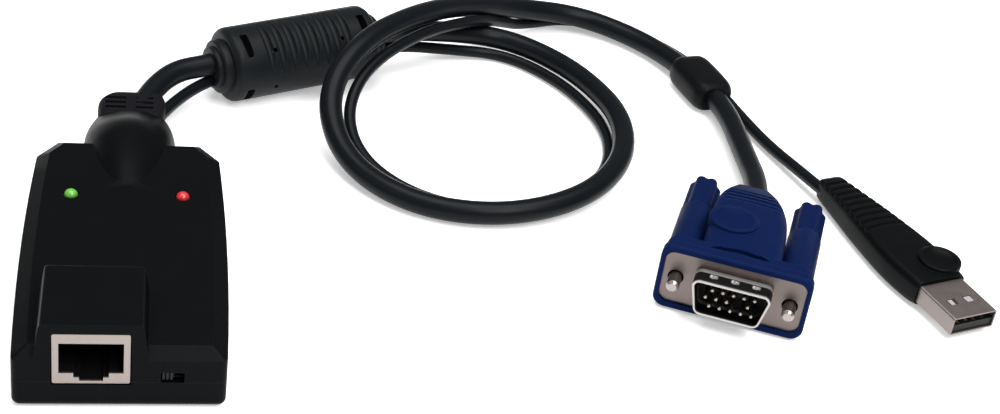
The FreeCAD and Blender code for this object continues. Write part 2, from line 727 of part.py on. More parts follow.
def make_choke(cables):
    """The filter choke's moulding, round the ferrite core, with a ring and neck at each end."""
    body = new_body("choke_moulding")
    half = size("choke_length") / 2
    reach = half + size("neck_reach")
    barrel, ring, neck = size("choke_radius"), 7.0, size("neck_radius")
    shape = new_sketch(body, "profile", "XZ_Plane")
    draw_outline(shape, [
        (-reach, 0), (reach, 0), (reach, neck), (half + 2.2, neck), (half + 2.2, ring - 0.4),
        (half + 1.8, ring), (half, ring), (half, barrel - 1.6), (half - 1.6, barrel),
        (-half + 1.6, barrel), (-half, barrel - 1.6), (-half, ring), (-half - 1.8, ring),
        (-half - 2.2, ring - 0.4), (-half - 2.2, neck), (-reach, neck)],
        {4: 0.4, 7: 1.6, 9: 1.6, 12: 0.4})
    revolve(body, "turned", shape, "H_Axis")
    core = new_sketch(body, "core_room", "XZ_Plane")
    draw_rectangle(core, -14.2, 14.2, 0, 7.2)
    revolve(body, "core_room_cut", core, "H_Axis", cut=True)
    for name, centre in (("left", -15.2), ("right", 15.2)):
        window = new_sketch(body, name + "_window", "XZ_Plane", 6.0)
        draw_rounded(window, centre - 1.4, centre + 1.4, 0.6, 6.4, 0.5)
        pocket(body, name + "_window_cut", window, 6, backwards=True)
    pins = new_sketch(body, "pin_holes", "XZ_Plane", 6.6)
    for x, z in ((-10.6, -3.4), (10.6, -3.4), (-10.6, 5.6), (10.6, 5.6)):
        draw_circle(pins, x, z, 0.55)
    pocket(body, "pin_holes_cut", pins, 6, backwards=True)
    grip = new_sketch(body, "grip", "YZ_Plane", -10.0)
    for number in range(8):
        angle = math.radians(38 + number * 14.5)
        out, high = math.cos(angle), math.sin(angle)
        draw_circle(grip, barrel * -out * 1.045, barrel * high * 1.045, 0.75)
    pocket(body, "grip_cut", grip, 20, backwards=True)
    body.Placement = CHOKE_PLACE
    return bored(body, "choke_moulding", cables)


def make_core(cables):
    body = new_body("ferrite_core")
    shape = new_sketch(body, "profile", "XZ_Plane")
    draw_rectangle(shape, -14.1, 14.1, 0, 7.1)
    revolve(body, "turned", shape, "H_Axis")
    body.Placement = CHOKE_PLACE
    return bored(body, "ferrite_core", cables)


def make_junction(cables):
    """The moulded block that holds the two cables together before they part."""
    body = new_body("cable_junction")
    sections = []
    for name, x, half_width, half_height in (
            ("near_end", -8.6, 4.9, 3.6), ("near_body", -6.6, 5.5, 4.15),
            ("far_body", 6.6, 5.5, 4.15), ("far_end", 8.6, 4.9, 3.6)):
        sketch = new_sketch(body, name, "YZ_Plane", x)
        draw_rounded(sketch, -half_width, half_width, -half_height, half_height, 2.0)
        sections.append(sketch)
    loft(body, "block", sections, ruled=True)
    body.Placement = JUNCTION_PLACE
    return bored(body, "cable_junction", cables)


# ---------------------------------------------------------------- video plug

def dsub_outline(sketch, width, height, radius):
    """The D outline of the plug: its long side up, its flanks ten degrees off upright."""
    top, half = height / 2, width / 2
    lean = height * 0.1763
    draw_outline(sketch, [
        (-half + lean + radius, -top), (half - lean - radius, -top),
        (half - lean + radius * 0.15, -top + radius), (half, top - radius),
        (half - radius, top), (-half + radius, top), (-half, top - radius),
        (-half + lean - radius * 0.15, -top + radius)],
        {1: radius * 1.16, 3: radius, 5: radius, 7: radius * 1.16})


def make_video_shell():
    body = new_body("vga_shell")
    half_width, half_height = size("flange_width") / 2, size("flange_height") / 2
    flange = new_sketch(body, "flange", "XZ_Plane")
    draw_rounded(flange, -half_width, half_width, -half_height, half_height, 2.2)
    pad(body, "plate", flange, 0.8, backwards=True)
    skirt = new_sketch(body, "skirt", "XZ_Plane")
    dsub_outline(skirt, size("dsub_width"), size("dsub_height"), 1.6)
    pad(body, "skirt_pad", skirt, size("dsub_reach"))
    inside = new_sketch(body, "inside", "XZ_Plane", size("dsub_reach") + 1)
    dsub_outline(inside, size("dsub_width") - 1.0, size("dsub_height") - 1.0, 1.1)
    pocket(body, "inside_cut", inside, size("dsub_reach") + 3)
    holes = new_sketch(body, "screw_holes", "XZ_Plane", 1)
    for side in (-0.5, 0.5):
        draw_circle(holes, size("screw_spacing") * side, 0, 1.75)
    pocket(body, "screw_holes_cut", holes, 3)
    for number in range(3):
        dimple = new_sketch(body, "dimple_%d" % number, "XY_Plane", size("dsub_height") / 2 + 0.5)
        draw_circle(dimple, (number - 1) * 4.6, -3.2, 0.75)
        pocket(body, "dimple_cut_%d" % number, dimple, 0.75)
    return finish(body, VIDEO_PLUG_PLACE)


def make_video_insulator():
    body = new_body("vga_insulator")
    block = new_sketch(body, "outline", "XZ_Plane", 0.6)
    dsub_outline(block, size("dsub_width") - 1.1, size("dsub_height") - 1.1, 1.0)
    pad(body, "block", block, 4.6, backwards=True)
    return finish(body, VIDEO_PLUG_PLACE)


def pin_places():
    """The fourteen pins of the plug: three rows, with one place of the middle row empty."""
    places = []
    for row, (height, shift) in enumerate(((1.98, 0.57), (0.0, -0.57), (-1.98, 0.57))):
        for step in range(5):
            if (row, step) != (1, 3):
                places.append(((step - 2) * 2.29 + shift, height))
    return places


def make_pin(number, x, z):
    body = new_body("vga_pin_%d" % number)
    shape = new_sketch(body, "profile", "YZ_Plane", x, rise=z)
    draw_outline(shape, [(-5.2, 0), (-0.6, 0), (-0.6, 0.5), (-4.8, 0.5), (-5.2, 0.25)])
    revolve(body, "turned", shape, "H_Axis")
    return finish(body, VIDEO_PLUG_PLACE)


def make_video_hood(cable):
    """The blue moulded hood: a stepped bezel, two screw sleeves and a waisted, ribbed grip."""
    body = new_body("vga_hood")
    grip_sections = []
    for name, y, half_width, top, low in (
            ("grip_front", 5.0, 10.6, 7.0, -7.2), ("grip_thumb", 17.0, 10.4, 7.5, -7.2),
            ("grip_waist", 27.0, 9.7, 7.3, -6.6), ("grip_neck", 36.0, 7.2, 6.1, -5.6),
            ("grip_rear", 44.0, 4.4, 4.6, -4.6)):
        sketch = new_sketch(body, name, "XZ_Plane", -y)
        draw_rounded(sketch, -half_width, half_width, low, top, 2.6)
        grip_sections.append(sketch)
    loft(body, "grip", grip_sections)
    for name, start, end, half_width, half_height in (
            ("bezel_rim", -0.7, 2.2, 16.5, 7.75), ("bezel_step", 2.2, 5.4, 16.1, 7.4)):
        sketch = new_sketch(body, name, "XZ_Plane", -start)
        draw_rounded(sketch, -half_width, half_width, -half_height, half_height, 2.6)
        pad(body, name + "_pad", sketch, end - start, backwards=True)
    sleeves = new_sketch(body, "sleeves", "XZ_Plane", -5.0)
    for side in (-0.5, 0.5):
        draw_circle(sleeves, size("screw_spacing") * side, 0, 3.8)
    pad(body, "sleeves_pad", sleeves, size("sleeve_end") - 5.0, backwards=True)
    seat = new_sketch(body, "flange_seat", "XZ_Plane", 2.0)
    half_width, half_height = size("flange_width") / 2 + 0.05, size("flange_height") / 2 + 0.05
    draw_rounded(seat, -half_width, half_width, -half_height, half_height, 2.2)
    pocket(body, "flange_seat_cut", seat, 2.85)
    room = new_sketch(body, "insulator_room", "XZ_Plane", 1.0)
    dsub_outline(room, size("dsub_width") - 1.0, size("dsub_height") - 1.0, 1.0)
    pocket(body, "insulator_room_cut", room, 5.1)
    bores = new_sketch(body, "screw_bores", "XZ_Plane", 1.0)
    ways = new_sketch(body, "knob_ways", "XZ_Plane", -size("sleeve_end"))
    for side in (-0.5, 0.5):
        draw_circle(bores, size("screw_spacing") * side, 0, 1.75)
        draw_circle(ways, size("screw_spacing") * side, 0, 4.0)
    pocket(body, "screw_bores_cut", bores, size("sleeve_end") + 2)
    pocket(body, "knob_ways_cut", ways, 20)
    scoop = new_sketch(body, "scoop", "XY_Plane", 6.9)
    draw_outline(scoop, [(-5.8, 2.3), (6.8, 2.3), (0.5, 5.0)], {1: 9.0, 2: 9.0})
    pocket(body, "scoop_cut", scoop, 3, backwards=True)
    for number, y in enumerate((27.6, 30.2, 32.8, 35.4)):
        floor = 6.55 - 0.17 * (y - 27.6) - 0.25 * number
        rib = new_sketch(body, "rib_%d" % number, "XY_Plane", floor)
        draw_outline(rib, [(-12.0, y - 1.2), (12.0, y - 1.2), (12.0, y - 0.1), (-12.0, y - 0.1)],
                     {0: -52.0, 2: 52.0})
        pocket(body, "rib_cut_%d" % number, rib, 5, backwards=True)
    thumb = new_sketch(body, "thumb_ring", "XY_Plane", 6.8)
    draw_oval(thumb, -1.0, 16.4, 5.2, 6.0)
    pad(body, "thumb_ring_pad", thumb, 1.5)
    dish = new_sketch(body, "thumb_dish", "XY_Plane", 7.5)
    draw_oval(dish, -1.0, 16.4, 4.2, 5.0)
    pocket(body, "thumb_dish_cut", dish, 3, backwards=True)
    body.Placement = VIDEO_PLUG_PLACE
    return bored(body, "vga_hood", [cable])


def make_thumb_screw(side, x):
    """A captive screw: a lobed knob, and the threaded stud that is moulded into it."""
    knob = new_body("%s_thumb_knob" % side)
    place = Placement(Vector(x, 0, 0), Rotation())
    shape = new_sketch(knob, "lobes", "XZ_Plane", -(SIZES["sleeve_end"] + 0.4))
    corners = []
    arcs = {}
    for lobe in range(6):
        middle = math.radians(60 * lobe)
        for turn, radius in ((-19, 3.3), (19, 3.3)):
            angle = middle + math.radians(turn)
            corners.append((radius * math.cos(angle), radius * math.sin(angle)))
        arcs[2 * lobe] = 1.3
        arcs[2 * lobe + 1] = -1.3
    draw_outline(shape, corners, arcs)
    pad(knob, "grip", shape, size("knob_length"), backwards=True)
    end = SIZES["sleeve_end"] + 0.4 + SIZES["knob_length"]
    dress(knob, "end_break", "Chamfer", 0.5, lambda edge: all(abs(v.Y - end) < 0.01 for v in edge.Vertexes))
    bore = new_sketch(knob, "stud_bore", "XZ_Plane", 0)
    draw_circle(bore, 0, 0, 1.25)
    pocket(knob, "stud_bore_cut", bore, size("sleeve_end") + 10.0)
    stud = new_body("%s_thumb_stud" % side)
    profile = new_sketch(stud, "profile", "YZ_Plane")
    tail = size("sleeve_end") + 10.0
    draw_outline(profile, [(-4.6, 0), (tail, 0), (tail, 1.25), (-0.1, 1.25), (-0.1, 1.42),
                           (-4.1, 1.42), (-4.6, 0.9)])
    revolve(stud, "turned", profile, "H_Axis")
    finish(knob, VIDEO_PLUG_PLACE.multiply(place))
    finish(stud, VIDEO_PLUG_PLACE.multiply(place))


# ---------------------------------------------------------------- USB plug

def make_usb_shell():
    body = new_body("usb_shell")
    half_width, half_height = size("usb_width") / 2, size("usb_height") / 2
    sheet = size("usb_sheet")
    tube = new_sketch(body, "outline", "XZ_Plane")
    draw_rounded(tube, -half_width, half_width, -half_height, half_height, 0.5)
    pad(body, "tube", tube, size("usb_reach") + 5.0, backwards=True)
    inside = new_sketch(body, "inside", "XZ_Plane", 1.0)
    draw_rectangle(inside, -half_width + sheet, half_width - sheet,
                   -half_height + sheet, half_height - sheet)
    pocket(body, "inside_cut", inside, size("usb_reach") + 7.0)
    for name, level in (("upper", 3.0), ("lower", -1.5)):
        latches = new_sketch(body, name + "_latches", "XY_Plane", level)
        for x in (-2.25, 2.25):
            draw_rectangle(latches, x - 1.25, x + 1.25, 4.5, 6.6)
        pocket(body, name + "_latches_cut", latches, 1.5)
    return finish(body, USB_PLUG_PLACE)


def make_usb_insulator():
    body = new_body("usb_insulator")
    inner = size("usb_width") / 2 - size("usb_sheet") - 0.05
    floor = -(size("usb_height") / 2) + size("usb_sheet") + 0.05
    tongue = new_sketch(body, "tongue", "XZ_Plane", -0.4)
    draw_rectangle(tongue, -inner, inner, floor, floor + 1.9)
    pad(body, "tongue_pad", tongue, 16.6, backwards=True)
    plug = new_sketch(body, "block", "XZ_Plane", -12.4)
    draw_rectangle(plug, -inner, inner, floor, size("usb_height") / 2 - size("usb_sheet") - 0.05)
    pad(body, "block_pad", plug, 4.6, backwards=True)
    lanes = new_sketch(body, "lanes", "XY_Plane", floor + 1.9)
    for x in (-3.5, -1.0, 1.0, 3.5):
        draw_rectangle(lanes, x - 0.55, x + 0.55, 1.0, 12.2)
    pocket(body, "lanes_cut", lanes, 0.3)
    return finish(body, USB_PLUG_PLACE)


def make_usb_contact(number, x):
    body = new_body("usb_contact_%d" % number)
    floor = -(size("usb_height") / 2) + size("usb_sheet") + 1.65
    strip = new_sketch(body, "strip", "XY_Plane", floor)
    draw_rectangle(strip, x - 0.5, x + 0.5, 1.1, 12.1)
    pad(body, "leaf", strip, 0.2)
    return finish(body, USB_PLUG_PLACE)


def make_usb_overmould(cable):
    """The USB plug's black grip: a rounded, tapering body with rib grooves and a thumb pad."""
    body = new_body("usb_overmould")
    sections = []
    for name, y, half_width, top, low in (
            ("mouth", 12.4, 6.6, 3.3, -3.3), ("shoulder", 25.0, 7.3, 3.5, -3.5),
            ("waist", 38.0, 5.9, 3.4, -3.4), ("taper", 47.0, 4.5, 3.1, -3.1),
            ("tail", 57.0, 3.1, 2.6, -2.6)):
        sketch = new_sketch(body, name, "XZ_Plane", -y)
        draw_rounded(sketch, -half_width, half_width, low, top, 2.0)
        sections.append(sketch)
    loft(body, "grip", sections)
    for number in range(8):
        y = 35.0 + 2.4 * number
        floor = 2.75 - 0.05 * number - 0.004 * number * number
        rib = new_sketch(body, "rib_%d" % number, "XY_Plane", floor)
        draw_outline(rib, [(-8.0, y - 1.0), (8.0, y - 1.0), (8.0, y), (-8.0, y)],
                     {0: -24.0, 2: 24.0})
        pocket(body, "rib_cut_%d" % number, rib, 3, backwards=True)
    pad_ring = new_sketch(body, "thumb_pad", "XY_Plane", 2.6)
    draw_oval(pad_ring, 0.6, 19.4, 4.0, 4.8)
    pad(body, "thumb_pad_rim", pad_ring, 1.35)
    dish = new_sketch(body, "thumb_dish", "XY_Plane", 3.35)
    draw_oval(dish, 0.6, 19.4, 3.2, 4.0)
    pocket(body, "thumb_dish_cut", dish, 3, backwards=True)
    room = new_sketch(body, "shell_room", "XZ_Plane", -12.0)
    half_width, half_height = size("usb_width") / 2, size("usb_height") / 2
    draw_rounded(room, -half_width, half_width, -half_height, half_height, 0.5)
    pocket(body, "shell_room_cut", room, size("usb_reach") + 5.0 - 12.0)
    body.Placement = USB_PLUG_PLACE
    return bored(body, "usb_overmould", [cable])


# ---------------------------------------------------------------- the whole dongle

video_cable = make_cable("video_cable", VIDEO_CABLE_ROUTE, SIZES["video_cable_diameter"])
usb_cable = make_cable("usb_cable", USB_CABLE_ROUTE, SIZES["usb_cable_diameter"])
both = [video_cable, usb_cable]

make_lower_cover()
make_upper_cover()
make_board()
make_block("controller_chip", -6.0, 43.0, 10.0, 10.0, 1.4)
make_block("video_chip", 7.5, 34.0, 7.0, 7.0, 1.2)
make_block("signal_transformer", -5.3, 25.0, 12.6, 9.4, 4.6)
make_block("cable_header", 0.0, 65.0, 13.0, 5.0, 4.4)
make_jack_shield()
make_jack_insert()
for contact in range(1, 9):
    make_jack_contact(contact)
make_lamp("link_led", -11.5)
make_lamp("power_led", 11.5)
make_lamp_leads()
make_switch()
make_strain_relief(both)
make_choke(both)
make_core(both)
make_junction(both)
make_video_shell()
make_video_insulator()
for number, (pin_x, pin_z) in enumerate(pin_places(), start=1):
    make_pin(number, pin_x, pin_z)
make_video_hood(video_cable)
make_thumb_screw("left", -SIZES["screw_spacing"] / 2)
make_thumb_screw("right", SIZES["screw_spacing"] / 2)
make_usb_shell()
make_usb_insulator()
for number, contact_x in enumerate((-3.5, -1.0, 1.0, 3.5), start=1):
    make_usb_contact(number, contact_x)
make_usb_overmould(usb_cable)

doc.recompute()
for thing in doc.Objects:
    if "Invalid" in thing.State or "Error" in thing.State:
        raise RuntimeError("%s is %s" % (thing.Label, thing.State))

GROUPED = {"lamp_leads": 4}
os.makedirs("parts", exist_ok=True)
for thing in FINISHED:
    shape = thing.Shape
    wanted = GROUPED.get(thing.Label, 1)
    if shape.isNull() or not shape.isValid() or len(shape.Solids) != wanted:
        raise RuntimeError("%s is not one sound solid (%d)" % (thing.Label, len(shape.Solids)))
    shape.exportStep("parts/%s.step" % thing.Label)
print("%d parts" % len(FINISHED))
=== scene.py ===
import bpy
import math
from mathutils import Matrix, Vector


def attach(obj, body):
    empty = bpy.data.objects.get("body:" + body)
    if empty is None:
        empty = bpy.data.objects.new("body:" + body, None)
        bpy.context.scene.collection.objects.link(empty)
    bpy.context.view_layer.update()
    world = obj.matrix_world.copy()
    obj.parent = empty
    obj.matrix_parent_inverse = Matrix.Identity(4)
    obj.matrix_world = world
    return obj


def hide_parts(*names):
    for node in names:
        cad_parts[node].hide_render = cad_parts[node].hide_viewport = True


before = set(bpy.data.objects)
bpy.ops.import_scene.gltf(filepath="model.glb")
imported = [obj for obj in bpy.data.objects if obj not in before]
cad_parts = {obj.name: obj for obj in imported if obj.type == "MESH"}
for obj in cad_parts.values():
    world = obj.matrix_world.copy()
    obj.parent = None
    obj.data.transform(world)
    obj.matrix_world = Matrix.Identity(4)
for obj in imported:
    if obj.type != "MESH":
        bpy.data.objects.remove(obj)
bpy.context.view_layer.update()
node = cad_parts

# ---- Studio
# A matt white table that glows a little, so that it stays white under the object. A wide softbox
# hangs overhead, a key light stands at the front right, and two weak ones fill the left and the
# front. The camera stands in front of the housing and above it, and leans to one side.
bpy.ops.object.select_all(action="DESELECT")
bpy.ops.mesh.primitive_plane_add(size=6.0, location=(0.08, 0.03, -0.0002))
table = bpy.context.object
table.name = "studio_table"
paper = bpy.data.materials.new("studio_paper")
paper.use_nodes = True
for label, setting in (("Base Color", (0.93, 0.93, 0.93, 1)), ("Roughness", 0.95),
                       ("Specular IOR Level", 0.0), ("Emission Color", (1, 1, 1, 1)),
                       ("Emission Strength", 0.36)):
    paper.node_tree.nodes["Principled BSDF"].inputs[label].default_value = setting
table.data.materials.append(paper)

scene = bpy.context.scene
scene.view_settings.view_transform = "Standard"
scene.world = bpy.data.worlds.new("studio")
scene.world.use_nodes = True
background = scene.world.node_tree.nodes["Background"].inputs
background["Color"].default_value = (1, 1, 1, 1)
background["Strength"].default_value = 0.3


def soft_light(name, place, aim, width, height, power):
    """A rectangular softbox that faces aim."""
    light = bpy.data.lights.new(name, "AREA")
    light.shape = "RECTANGLE"
    light.size = width
    light.size_y = height
    light.energy = power
    lamp = bpy.data.objects.new(name, light)
    lamp.location = place
    lamp.rotation_euler = (Vector(aim) - Vector(place)).to_track_quat("-Z", "Y").to_euler()
    scene.collection.objects.link(lamp)


soft_light("overhead_box", (0.1, 0.06, 0.85), (0.09, 0.03, 0), 0.9, 0.6, 10.0)
soft_light("key_box", (0.27, -0.43, 0.65), (0.05, 0.0, 0), 0.35, 0.35, 4.5)
soft_light("left_box", (-0.6, -0.25, 0.5), (0.05, 0.0, 0), 0.5, 0.5, 0.7)
soft_light("front_box", (0.3, -0.9, 0.45), (0.1, 0.0, 0), 0.8, 0.4, 0.6)

lens = bpy.data.cameras.new("camera")
lens.lens = 64.6
lens.sensor_width = 36.0
lens.clip_start = 0.01
camera = bpy.data.objects.new("camera", lens)
eye = Vector((0.0043, -0.31325, 0.2253))
aim = Vector((0.0842, 0.02595, 0))
lean = Matrix.Rotation(math.radians(8.743), 3, "Z").to_quaternion()
camera.rotation_mode = "QUATERNION"
camera.location = eye
camera.rotation_quaternion = (aim - eye).to_track_quat("-Z", "Y") @ lean
scene.collection.objects.link(camera)
scene.camera = camera


# ---- Housing covers
# Two injection-moulded shells in black ABS with a fine spark-eroded grain. They snap together
# at the parting line. Their rear halves close round the strain relief as a torpedo collar,
# whose tail flattens towards the rim.
class Value:
    """A node socket that takes part in sums and products as a number does."""

    def __init__(self, tree, socket):
        self.tree = tree
        self.socket = socket

    def combine(self, operation, other=0.0, swap=False):
        maths = self.tree.nodes.new("ShaderNodeMath")
        maths.operation = operation
        for place, term in enumerate((other, self) if swap else (self, other)):
            if isinstance(term, Value):
                self.tree.links.new(term.socket, maths.inputs[place])
            else:
                maths.inputs[place].default_value = term
        return Value(self.tree, maths.outputs[0])

    def __add__(self, other):
        return self.combine("ADD", other)

    __radd__ = __add__

    def __sub__(self, other):
        return self.combine("SUBTRACT", other)

    def __rsub__(self, other):
        return self.combine("SUBTRACT", other, swap=True)

    def __mul__(self, other):
        return self.combine("MULTIPLY", other)

    __rmul__ = __mul__

    def __truediv__(self, other):
        return self.combine("DIVIDE", other)

    def __neg__(self):
        return self * -1.0

    def __abs__(self):
        return self.combine("ABSOLUTE")

    def within(self, low, high):
        """The same value, held between low and high."""
        return self.combine("MAXIMUM", low).combine("MINIMUM", high)

    def above(self, level, soft):
        """0 below the level and 1 above it, with a change that is soft wide."""
        return ((self - (level - soft / 2)) / soft).within(0.0, 1.0)

    def near(self, middle, reach, soft):
        """1 within reach of the middle and 0 beyond it, with a change that is soft wide."""
        return 1.0 - abs(self - middle).above(reach, soft)


class Finish:
    """A surface finish under construction: its shader, and the nodes that vary it."""

    def __init__(self, name, colour, roughness, metallic=0.0, specular=0.5):
        self.material = bpy.data.materials.new(name)
        self.material.use_nodes = True
        self.tree = self.material.node_tree
        self.shader = self.tree.nodes["Principled BSDF"]
        self.shader.inputs["Base Color"].default_value = (*colour, 1)
        self.shader.inputs["Roughness"].default_value = roughness
        self.shader.inputs["Metallic"].default_value = metallic
        self.shader.inputs["Specular IOR Level"].default_value = specular

    def node(self, kind, output=0, settings=None, **sockets):
        """A new node: its settings first, then its sockets by name, or as _0 by number."""
        made = self.tree.nodes.new(kind)
        for field, setting in (settings or {}).items():
            setattr(made, field, setting)
        for label, value in sockets.items():
            socket = made.inputs[int(label[1:]) if label[1:].isdigit() else label.replace("_", " ")]
            if isinstance(value, Value):
                self.tree.links.new(value.socket, socket)
            else:
                socket.default_value = value
        return Value(self.tree, made.outputs[output])

    def place(self, turn=(0.0, 0.0, 0.0), shift=(0.0, 0.0, 0.0)):
        """Object coordinates less shift, turned into a sub-part's own axes."""
        where = self.node("ShaderNodeTexCoord", "Object")
        if any(turn) or any(shift):
            where = self.node("ShaderNodeMapping", settings={"vector_type": "TEXTURE"},
                              Vector=where, Location=shift, Rotation=turn)
        return where

    def axes(self, vector):
        """The three parts of a vector."""
        return [self.node("ShaderNodeSeparateXYZ", part, Vector=vector) for part in range(3)]

    def noise(self, scale, detail=2.0, roughness=0.5, vector=None):
        """Cloudy variation between 0 and 1, about scale patches to the metre."""
        return self.node("ShaderNodeTexNoise", "Fac", Vector=vector or self.place(),
                         Scale=scale, Detail=detail, Roughness=roughness)

    def pits(self, scale):
        """Rounded grain, as a spark-eroded mould leaves it."""
        return self.node("ShaderNodeTexVoronoi", "Distance", {"feature": "SMOOTH_F1"},
                         Vector=self.place(), Scale=scale, Smoothness=0.6)

    def blend_colours(self, mask, first, second):
        """The first colour where the mask is 0, and the second where it is 1."""
        return self.node("ShaderNodeMix", 2, {"data_type": "RGBA"}, _0=mask,
                         _6=first if isinstance(first, Value) else (*first, 1),
                         _7=second if isinstance(second, Value) else (*second, 1))

    def rounded_normal_and_corners(self, radius):
        """A rounded normal, and a mask that is 1 on the outer corners within the radius."""
        rounded = self.node("ShaderNodeBevel", settings={"samples": 4}, Radius=radius)
        plain = self.node("ShaderNodeNewGeometry", "True Normal")
        match = self.node("ShaderNodeVectorMath", "Value", {"operation": "DOT_PRODUCT"},
                          _0=rounded, _1=plain)
        return rounded, ((1.0 - match) * 6.0).within(0.0, 1.0)

    def feed(self, label, value):
        self.tree.links.new(value.socket, self.shader.inputs[label])

    def fed(self, label):
        """What feeds a socket of the shader so far."""
        return Value(self.tree, self.shader.inputs[label].links[0].from_socket)

    def relief(self, height, distance, normal=None):
        """Raise the surface by height times distance, over a given normal if there is one."""
        sockets = {"Height": height, "Distance": distance}
        if normal is not None:
            sockets["Normal"] = normal
        self.feed("Normal", self.node("ShaderNodeBump", **sockets))

    def dress(self, *pieces):
        """Give the finish to pieces, in place of whatever they wore."""
        for piece in pieces:
            piece.data.materials.clear()
            piece.data.materials.append(self.material)


def moulded(name, colour, lighter, corner_wear_and_highlight_colour, roughness, specular=0.02, pitch=4200.0,
            depth=0.000012, edge=0.00022):
    """Moulded plastic: spark grain, flow marks in colour and sheen, corners rubbed smoother and
    painted lighter, a painted highlight that also stands for wear.
    """
    finish = Finish(name, colour, roughness, specular=specular)
    rounded, corner_wear_and_highlight = finish.rounded_normal_and_corners(edge)
    flow = finish.noise(60.0, 5.0, 0.6)
    scuffs = finish.noise(900.0, 6.0, 0.7).above(0.62, 0.1)
    body = finish.blend_colours(flow, colour, lighter)
    # The outer corners are painted lighter: a painted highlight, which also stands for wear.
    finish.feed("Base Color", finish.blend_colours(corner_wear_and_highlight * (0.45 + flow * 0.5), body, corner_wear_and_highlight_colour))
    sheen = finish.noise(240.0, 4.0) * 0.14 + (roughness - 0.07)
    finish.feed("Roughness", (sheen - corner_wear_and_highlight * 0.1 - scuffs * 0.05).within(0.15, 1.0))
    finish.relief(finish.pits(pitch) + finish.noise(pitch * 2.5, 2.0) * 0.4, depth, rounded)
    return finish


def tidy_solid(piece):
    """Merge the doubles of a mesh, and point its faces outwards."""
    bpy.ops.object.select_all(action="DESELECT")
    piece.select_set(True)
    bpy.context.view_layer.objects.active = piece
    bpy.ops.object.mode_set(mode="EDIT")
    bpy.ops.mesh.select_all(action="SELECT")
    bpy.ops.mesh.remove_doubles(threshold=0.000001)
    bpy.ops.mesh.normals_make_consistent(inside=False)
    bpy.ops.object.mode_set(mode="OBJECT")


def copy_of(name, new_name):
    """A piece that starts as a merged copy of a solid's own mesh."""
    piece = bpy.data.objects.new(new_name, node[name].data.copy())
    scene.collection.objects.link(piece)
    tidy_solid(piece)
    bpy.ops.mesh.customdata_custom_splitnormals_clear()
    return piece


def between_stations(stations, at):
    """The value at a place, on straight lines through (place, value) pairs."""
    if at <= stations[0][0]:
        return stations[0][1]
    for (here, value), (there, other) in zip(stations, stations[1:]):
        if at <= there:
            return value + (other - value) * (at - here) / (there - here)
    return stations[-1][1]


# Each pair is a place along the collar, and the share of its height that is left there. Ahead of
# the collar only the bowed sides are shaded smooth, so that the flat walls stay flat.
COLLAR_AXIS = 0.0072
COLLAR_HEIGHTS = [(0.0280, 1.0), (0.0310, 0.955), (0.0340, 0.87), (0.0370, 0.75), (0.0400, 0.63),
                  (0.0430, 0.52), (0.04615, 0.44)]
COLLAR_START = 0.0095
STEEP = 0.3
cover_finish = moulded("black_abs", (0.0014, 0.0018, 0.0021), (0.0021, 0.0026, 0.0029),
                       (0.009, 0.0105, 0.012), 0.42, specular=0.035)
for solid in ("upper_cover", "lower_cover"):
    cover = copy_of(solid, solid.replace("cover", "shell"))
    for corner in cover.data.vertices:
        share = between_stations(COLLAR_HEIGHTS, corner.co.y)
        corner.co.z = COLLAR_AXIS + (corner.co.z - COLLAR_AXIS) * share
    bpy.ops.object.shade_smooth_by_angle(angle=math.radians(28))
    for face in cover.data.polygons:
        face.use_smooth = face.center.y > COLLAR_START or abs(face.normal.z) < STEEP
    cover_finish.dress(cover)
    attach(cover, "dongle")
    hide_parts(solid)

# ---- Circuit board
# A green glass-epoxy board on four posts of the lower cover, with two chips, the network
# signal transformer and the header that the cables' wires end in. It is seen only in section.
mask_finish = moulded("solder_mask", (0.01, 0.09, 0.03), (0.012, 0.11, 0.04), (0.35, 0.3, 0.15),
                      0.35, specular=0.5)
mask_finish.dress(node["main_board"])
epoxy_finish = moulded("chip_epoxy", (0.012, 0.012, 0.013), (0.02, 0.02, 0.02), (0.03, 0.03, 0.03),
                       0.55)
epoxy_finish.dress(node["controller_chip"], node["video_chip"], node["signal_transformer"])
nylon_finish = moulded("header_nylon", (0.68, 0.64, 0.53), (0.76, 0.72, 0.62), (0.8, 0.78, 0.7),
                       0.4, specular=0.4)
nylon_finish.dress(node["cable_header"])


# ---- Network jack
# A black socket insert with eight gilt spring wires, in a folded shield of nickel-plated
# steel. The shield's front edge shows as a bright frame in the housing's window.
def plated(name, colour, streaks, roughness, turn=0.0, edge=0.00012):
    """Nickel-plated sheet: fine drawing lines along one way, dull patches, and corners painted bright,
    a painted highlight that also stands for wear.
    """
    finish = Finish(name, colour, roughness, metallic=1.0)
    rounded, corner_wear_and_highlight = finish.rounded_normal_and_corners(edge)
    along = finish.node("ShaderNodeMapping", settings={"vector_type": "POINT"},
                        Vector=finish.place(turn=(0.0, 0.0, turn)), Scale=(220.0, 5200.0, 5200.0))
    lines = finish.noise(1.0, 3.0, 0.6, along)
    patches = finish.noise(420.0, 5.0, 0.6)
    tone = finish.blend_colours(patches * 0.7 + lines * 0.3, colour, streaks)
    # The corners are painted brighter: a painted highlight, which also stands for wear.
    painted_highlight = tuple(min(0.95, part * 1.5) for part in streaks)
    finish.feed("Base Color", finish.blend_colours(corner_wear_and_highlight * 0.7, tone, painted_highlight))
    finish.feed("Roughness", (roughness - 0.08 + patches * 0.12 + lines * 0.08).within(0.08, 1.0))
    finish.relief(lines + patches * 0.5, 0.0000035, rounded)
    return finish


shield_finish = plated("shield_plating", (0.24, 0.205, 0.19), (0.31, 0.27, 0.255), 0.42)
shield_finish.dress(node["jack_shield"])
insert_finish = moulded("socket_black", (0.003, 0.003, 0.0035), (0.004, 0.004, 0.0045),
                        (0.006, 0.006, 0.007), 0.5, specular=0.12, depth=0.000005)
insert_finish.dress(node["jack_insert"])


